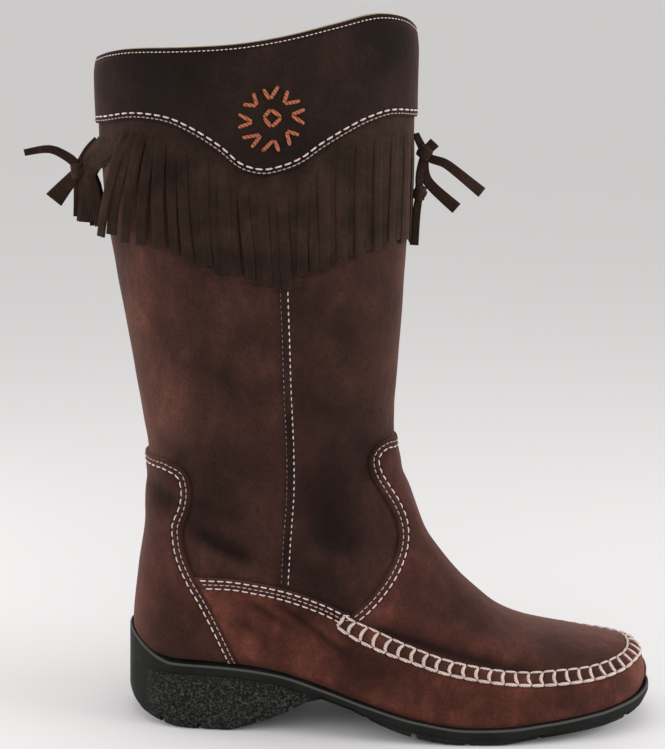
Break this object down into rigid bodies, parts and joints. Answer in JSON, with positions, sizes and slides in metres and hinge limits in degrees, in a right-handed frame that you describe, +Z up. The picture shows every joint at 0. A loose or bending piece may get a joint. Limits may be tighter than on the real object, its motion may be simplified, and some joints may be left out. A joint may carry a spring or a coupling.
{
  "type": "boot",
  "caption": "Mid-calf dark brown suede boot for the right foot, with a moccasin toe, a stitched cuff over a leather fringe, tied thongs and a low rubber wedge heel.",
  "frame": {"origin": "on the floor, at the middle of the flat spot under the heel", "axes": "+X towards the toe, +Y towards the inner (medial) side of the foot, +Z up the shaft; the boot stands on the plane z = 0"},
  "size_m": [0.3203, 0.0974, 0.3554],
  "materials": {
    "suede": "matte",
    "dark_suede": "matte",
    "lining": "matte",
    "rubber": "satin"
  },
  "bodies": {
    "root": {"sole": "rubber", "insole": "lining", "upper": "suede", "heel_counter": "suede", "side_wall": "suede", "vamp": "suede", "moccasin_seam": "suede", "wall_seam_outer": "suede", "wall_seam_inner": "suede", "side_seam_outer": "dark_suede", "side_seam_inner": "dark_suede", "cuff": "dark_suede", "fringe": "dark_suede", "knot_front": "dark_suede", "knot_back": "dark_suede"}
  },
  "joints": []
}
